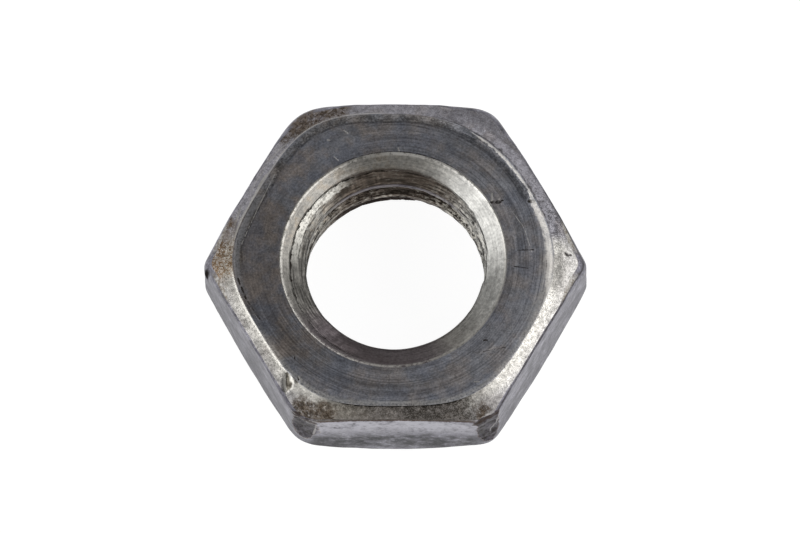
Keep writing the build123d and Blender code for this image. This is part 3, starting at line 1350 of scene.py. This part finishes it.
broken = flat_steel.stored("broken")
facets = flat_steel.noise(2.4, 4.0, 0.75)
inside_break = broken + (facets - 0.5) * 0.08
fresh = flat_steel.mix((facets + mottle).ramp(0.85, 1.15), broken_black, broken_grey)
fresh = vector_math(flat_steel.tree, "SCALE", fresh, fine.ramp(0.3, 0.7, 0.5, 1.5))
flat_steel.paint(inside_break.ramp(0.0, 0.012) * 0.97, fresh)
worn_break = inside_break.ramp(0.0, 0.012) * flat_steel.side(247.4, 2.2, 1.0)
flat_steel.paint(worn_break * mottle.ramp(0.38, 0.55, 0.25, 0.8), worn_lilac)
rim = flat_steel.mix(mottle.ramp(0.5, 0.56), rim_brown, rim_grey)
flat_steel.paint(inside_break.math("ABSOLUTE").ramp(0.02, 0.006) * 0.7, rim)
flat_steel.report("broken corners")

# %% [markdown]
# ### Rubbed flats: shadows and burrs at the breaks
#
# A painted shadow lies along the top of each break, and thin burrs stand round it that are
# bright where they were rubbed since. Both are strokes on an unrolled cylinder, so that the
# scoop's hollow doesn't bend them. The pit is in the left corner, where the dents left a nick.

# %% Shadows and burrs
break_shadow_brown = (0.045, 0.031, 0.024)
ridge_grey = (0.38, 0.365, 0.36)

rolled_out = 10.5
_, cosine, sine, level = place_group(flat_steel.tree, ring_place)
unrolled = combine(flat_steel.tree, cosine * rolled_out, sine * rolled_out, level)


def from_stroke(start, end):
    """How far a point is from a stroke on the unrolled cylinder, given as angles and drops."""
    return distance_to_stroke(flat_steel.tree, unrolled, polar(rolled_out, *start), polar(rolled_out, *end))


break_shadow_strokes = [
    # start, end, width
    ((237.5, 1.0), (244.2, 1.15), 0.5),
    ((295.6, 1.3), (302.5, 1.1), 0.48),
]
# A painted shadow along the top of each break.
break_shadow = strongest([
    (from_stroke(start, end) + facets * 0.5).ramp(width, width - 0.14)
    for start, end, width in break_shadow_strokes])
flat_steel.paint(break_shadow * 0.85, break_shadow_brown)
ridges = [
    ((235.4, 0.92), (245.8, 0.95), 0.05),
    ((238.5, 1.05), (241.9, 1.4), 0.045),
    ((241.9, 1.4), (244.9, 1.25), 0.05),
    ((244.9, 1.25), (244.4, 2.2), 0.06),
    ((244.4, 2.2), (243.9, 3.0), 0.085),
    ((304.4, 1.0), (303.0, 2.4), 0.06),
    ((303.0, 2.4), (300.6, 3.4), 0.05),
]
waver = fine * 2.2 - 0.1
raised = strongest([
    (from_stroke(start, end) * waver).ramp(width, width * 0.4)
    for start, end, width in ridges])
flat_steel.paint(raised * mottle.ramp(0.38, 0.5, 0.3, 0.8), ridge_grey)
pit = flat_steel.scratches([((10.74, 182.6, 1.0), (10.76, 181.8, 2.0), 0.32, 0.0)])
flat_steel.paint(pit, black_dirt)
print(len(ridges), "burrs on the broken corners")
flat_steel.finish(
    roughness=fine * 0.25 + 0.33,
    relief=smears * 0.3 + scuffs * 0.3 + fine * 0.6,
    relief_depth=0.015,
    covered=pit)

# %% [markdown]
# ### Cut hole: countersink
#
# The countersink was cut by a rotating tool. Its colour is painted lighter on the right,
# where light reaches it, and painted darker as shade on the left and near sides.
# Its lower end, where it meets the thread, has gathered dirt on the near and far sides. The
# geometry tree stored how far the thread lies outside the cone, which is negative on the
# cone itself and says how close a point is to that end. A second distance is measured down
# the lower flanks of the thread, which lean by 30 degrees, for the noise of the tears.

# %% Countersink
cut_steel = (0.36, 0.345, 0.318)
lit_steel = (0.43, 0.425, 0.405)
far_steel = (0.46, 0.44, 0.40)
oil_brown = (0.24, 0.198, 0.15)
near_violet = (0.15, 0.125, 0.138)
far_brown = (0.075, 0.055, 0.042)
near_brown = (0.06, 0.042, 0.042)

hole_steel = Steel(CUT, cut_steel)
radius, cosine, sine, level = place_group(hole_steel.tree, ring_place)
beyond_cone = hole_steel.stored("beyond_cone")
marks = hole_steel.marks_round(2.5, 9.0, 9.0)
fine = hole_steel.noise(6.0, 4.0, 0.7)
mottle = hole_steel.noise(1.4, 5.0, 0.75)
down_flank = level * 0.5 + radius * 0.866


def noise_round(around, upright, detail, roughness):
    """Noise drawn out round the hole. The first number says how fast it changes with the angle."""
    ring = combine(hole_steel.tree, cosine * around, sine * around, upright)
    return noise(hole_steel.tree, ring, 1.0, detail, roughness)


tears = noise_round(4.3, down_flank * 11, 3.0, 0.6)
right_side = hole_steel.side(20, 40, 40)
near_side = hole_steel.side(256, 30, 25)
far_side = hole_steel.side(88, 28, 32)
upper_half = hole_steel.side(82, 75, 25)
# Painted light on the right side.
hole_steel.paint(right_side, lit_steel)
hole_steel.paint(hole_steel.side(80, 14, 18) * 0.4, far_steel)
# Painted shade on the left side.
hole_steel.shade(1 - hole_steel.side(190, 32, 36) * 0.36)
hole_steel.shade(mottle.ramp(0.35, 0.65, 0.8, 1.2))
hole_steel.paint(upper_half * (1 - right_side) * mottle.ramp(0.46, 0.6) * 0.55, oil_brown)
# Painted shade on the near side, in a violet tone.
hole_steel.paint(near_side * 0.8, near_violet)
hole_steel.shade(marks.ramp(0.3, 0.7, 0.82, 1.14))
hole_steel.shade(fine.ramp(0.3, 0.7, 0.74, 1.24))
far_dirt = beyond_cone.ramp(-0.45, -0.15) * hole_steel.side(92, 24, 20)
baked = (mottle + tears * 0.4).ramp(0.5, 0.75, 0.4, 1.0)
hole_steel.paint(far_dirt * baked * 0.85, far_brown)
near_dirt = beyond_cone.ramp(-0.25, -0.06) * hole_steel.side(272, 26, 20) * mottle.ramp(0.35, 0.6, 0.5, 1.0)
hole_steel.paint(near_dirt * 0.5, near_brown)
hole_steel.report("countersink")

# %% [markdown]
# ### Cut hole: torn thread
#
# A blunt tap tore the thread, and oil and dust have baked into it. The tears run along the
# flanks, so their noise is drawn out round the axis and changes quickly down the flank.
# Coarser chunks leave pale torn metal standing and dark grime between, most of all on the
# far side. Lumps with black cracks between them hang on the right, the lowest turn in view is
# dark, and a painted highlight lies on one flank on the left, where it catches the light.

# %% Torn thread
groove_brown = (0.13, 0.105, 0.085)
torn_steel = (0.66, 0.63, 0.56)
grime_black = (0.035, 0.028, 0.023)
deep_brown = (0.06, 0.047, 0.043)
lump_white = (0.76, 0.73, 0.66)
lump_crack = (0.025, 0.02, 0.016)
crest_grey = (0.16, 0.15, 0.18)
glint_steel = (0.80, 0.78, 0.72)

beyond_crest = hole_steel.stored("beyond_crest")
chunks = noise_round(19.3, down_flank * 8, 4.0, 0.7)
in_groove = beyond_cone.ramp(0.0, 0.15)
hole_steel.paint(in_groove * far_side * 0.85, groove_brown)
hole_steel.shade(1 + in_groove * tears.ramp(0.35, 0.65, -0.5, 0.5))
chunky = in_groove * upper_half * level.ramp(top - 1.6, top - 2.3, 0.3, 1.0)
ripped_side = hole_steel.side(46, 16, 14)
ripped = chunks + tears * 0.5 + ripped_side * 0.06
hole_steel.paint(chunky * ripped.ramp(0.8, 0.92) * (ripped_side * 0.3 + 0.6), torn_steel)
grime = chunky * (ripped - ripped_side * 0.07).ramp(0.72, 0.64)
hole_steel.paint(grime * 0.85, grime_black)
lowest_turn = in_groove * far_side * level.ramp(top - 3.5, top - 4.2) * level.ramp(top - 5.15, top - 5.0)
hole_steel.paint(lowest_turn * 0.95, deep_brown)
lumps = noise_round(8.3, down_flank * 3, 3.0, 0.6)
lump_edge = (lumps - 0.5).math("ABSOLUTE")
lumpy = chunky * hole_steel.side(33, 17, 12)
hole_steel.paint(lumpy * lump_edge.ramp(0.04, 0.09) * lumps.ramp(0.45, 0.55) * 0.7, lump_white)
hole_steel.paint(lumpy * lump_edge.ramp(0.035, 0.018) * 0.9, lump_crack)
crest = beyond_crest.ramp(0.05, 0.0) * in_groove * far_side * level.ramp(top - 3.0, top - 2.6)
hole_steel.paint(crest * 0.6, crest_grey)
# The glint is a painted highlight on one flank on the left.
wavy = beyond_crest + (tears - 0.5) * 0.5 + (chunks - 0.5) * 0.35
glint = hole_steel.side(149, 17, 22) * in_groove * wavy.ramp(0.36, 0.52)
hole_steel.paint(glint * (chunks + fine).ramp(0.8, 1.1, 0.35, 1.0), glint_steel)
# Painted shade in the groove on the left.
hole_steel.shade(1 - hole_steel.side(186, 14, 16) * in_groove * 0.4)
hole_steel.report("torn thread")

# %% [markdown]
# ### Cut hole: the crack of dirt and shade, and the lip
#
# A crack of black dirt and painted shade fills the root of the first groove, just under the
# countersink. It lies beyond a certain distance from the thread's crest, and a jagged noise
# moves that limit. The lip at the mouth is rubbed bright, most of all beside the dent, and a
# painted highlight runs along it on the far side.

# %% The crack of dirt and shade, and the lip
crack_black = (0.02, 0.016, 0.013)
lip_white = (0.75, 0.74, 0.71)
lip_highlight_steel = (0.80, 0.775, 0.73)

jags = noise_round(13.3, level * 2.0 + 0.4, 4.0, 0.7)
smooth_root = 0.675 - cosine * 0.14 - sine.math("MINIMUM", 0.0) * 0.28
root_line = smooth_root + (jags - 0.5) * 0.34 + (chunks - 0.5) * 0.12
# Black dirt and painted shade in the root of the first groove.
crack = in_groove * (beyond_crest - root_line).ramp(0.0, 0.03) * (1 - right_side * 0.7)
hole_steel.paint(crack * 0.95, crack_black)
lip_knock = hole_steel.scratches([((6.28, 37.5, 0.1), (6.42, 32.3), 0.13, 0.0)])
hole_steel.paint(lip_knock * 0.8, lip_white)
hole_steel.paint(level.ramp(top - 0.12, top - 0.04) * (fine + jags).ramp(0.8, 1.1) * 0.7, bare_steel)
# A painted highlight along the lip on the far side.
lip_highlight = hole_steel.side(64, 24, 12) * level.ramp(top - 0.1, top - 0.03) * (fine + jags).ramp(0.85, 1.0)
hole_steel.paint(lip_highlight * 0.9, lip_highlight_steel)
hole_steel.finish(
    roughness=fine * 0.2 + 0.22 + in_groove * 0.16 + grime * 0.2,
    relief=marks * 0.4 + fine * 0.3 - crack + chunky * (chunks + tears) * 1.6,
    relief_depth=0.012,
    covered=(grime * 0.6).math("MAXIMUM", crack * 0.9))

# %% [markdown]
# ## The room
#
# Metal shows its surroundings, so the room matters as much as the finish. It is pale at the
# horizon and darker overhead. The flat faces then turn dark, while the chamfers and the
# countersink, which lean outwards, stay light.

# %% Room
at_horizon, overhead = 0.7, 0.28
world = bpy.data.worlds.new("studio")
bpy.context.scene.world = world
world.use_nodes = True
sky = world.node_tree
direction = sky.nodes.new("ShaderNodeTexCoord").outputs["Generated"]
_, _, upwards = separate(sky, direction)
room_light = upwards.ramp(0.0, 0.6, at_horizon, overhead)
plug(sky, combine(sky, room_light, room_light, room_light), sky.nodes["Background"].inputs["Color"])
print(f"the room's light goes from {at_horizon} at the horizon to {overhead} overhead")

# %% [markdown]
# ## The floor
#
# The nut lies on white paper. The paper has to look white without throwing more light on the
# nut, so most of its white is a glow that only the camera and reflections see, over a darker
# matt sheet that keeps the soft shadow.

# %% Floor
floor_radius, floor_gap = 2.0, 0.02 * mm
paper_grey, paper_glow = 0.22, 0.93
bpy.ops.mesh.primitive_circle_add(vertices=128, radius=floor_radius, fill_type="NGON")
floor = bpy.context.object
floor.name = "floor"
floor.location.z = -floor_gap
floor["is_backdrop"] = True
paper = bpy.data.materials.new("white_paper")
paper.use_nodes = True
floor.data.materials.append(paper)
sheet = paper.node_tree
matt = sheet.nodes["Principled BSDF"]
matt.inputs["Base Color"].default_value = (paper_grey, paper_grey, paper_grey, 1)
matt.inputs["Roughness"].default_value = 1.0
matt.inputs["Specular IOR Level"].default_value = 0.0
rays = sheet.nodes.new("ShaderNodeLightPath")
seen = Field(sheet, rays.outputs["Is Camera Ray"])
for kind in ("Is Glossy Ray", "Is Transmission Ray"):
    seen = seen + Field(sheet, rays.outputs[kind])
glow = sheet.nodes.new("ShaderNodeEmission")
plug(sheet, seen * paper_glow, glow.inputs["Strength"])
both = sheet.nodes.new("ShaderNodeAddShader")
sheet.links.new(matt.outputs[0], both.inputs[0])
sheet.links.new(glow.outputs[0], both.inputs[1])
sheet.links.new(both.outputs[0], sheet.nodes["Material Output"].inputs["Surface"])
print("the floor lies", round(floor_gap / mm, 3), "mm under the nut")

# %% [markdown]
# ## The soft boxes
#
# A soft box is a lamp behind cloth. Bright metal shows it as a pale patch, so what counts is
# how bright that patch is, and the lamp's power follows from it and from the cloth's area.
# One long box stands on each side and a small one behind, low enough for the chamfers and
# the countersink to mirror them into the camera while the flat face mirrors only the room.

# %% Soft boxes
middle = Vector((0, 0, thickness / 2))
lamp_distance = 0.5


def towards(azimuth, elevation):
    """A unit vector from two angles in degrees."""
    around, above = azimuth * degree, elevation * degree
    return Vector((math.cos(around) * math.cos(above), math.sin(around) * math.cos(above), math.sin(above)))


def soft_box(name, azimuth, elevation, width, tall, brightness):
    """A rectangular lamp that faces the nut and shows the given brightness in a mirror."""
    lamp = bpy.data.lights.new(name, "AREA")
    lamp.shape = "RECTANGLE"
    lamp.size, lamp.size_y = width, tall
    lamp.energy = brightness * math.pi * width * tall
    holder = bpy.data.objects.new(name, lamp)
    bpy.context.scene.collection.objects.link(holder)
    holder.location = middle + towards(azimuth, elevation) * lamp_distance
    holder.rotation_euler = towards(azimuth, elevation).to_track_quat("Z", "Y").to_euler()
    print(name, f"{lamp.energy:.2f} W")


soft_box("back_right_box", 54, 37, 0.34, 0.16, 2.2)
soft_box("right_box", -12, 30, 0.66, 0.22, 2.2)
soft_box("left_box", 194, 28, 0.60, 0.22, 2.0)

# %% [markdown]
# ## The camera
#
# The nut is seen steeply from above its near flat, through a long lens, so that the far side
# is hardly smaller than the near one. The camera's own axes are worked out from its
# direction and a slight roll, and they become the columns of its matrix.

# %% Camera
azimuth, elevation, roll = -88.23, 70.87, -1.77 * degree
camera_distance, lens = 1.13, 898.8
beside, beyond_aim = 0.2925 * mm, -0.4203 * mm
view = towards(azimuth, elevation)
level_right = Vector((-math.sin(azimuth * degree), math.cos(azimuth * degree), 0))
level_up = view.cross(level_right)
right = level_right * math.cos(roll) + level_up * math.sin(roll)
up = view.cross(right)
aim = Vector((0, 0, thickness)) + right * beside + up * beyond_aim
camera_data = bpy.data.cameras.new("camera")
camera_data.lens = lens
camera = bpy.data.objects.new("camera", camera_data)
bpy.context.scene.collection.objects.link(camera)
axes = (right, up, view, aim + view * camera_distance)
camera.matrix_world = Matrix([[axis[row] for axis in axes] for row in range(3)] + [[0, 0, 0, 1]])
bpy.context.scene.camera = camera
bpy.context.scene.view_settings.view_transform = "Standard"
print(f"the camera stands {camera_distance} m away with an {lens} mm lens")

# %% [markdown]
# ## Sizes
#
# The finished nut is meant to stay inside the box of the CAD model, so the sizes of
# both boxes are printed.

# %% Print the sizes of both boxes
visual_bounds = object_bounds()
for name, (low, high) in (("CAD", cad_bounds), ("visual", visual_bounds)):
    print(name, "size in mm:", [round((end - start) / mm, 3) for start, end in zip(low, high)])
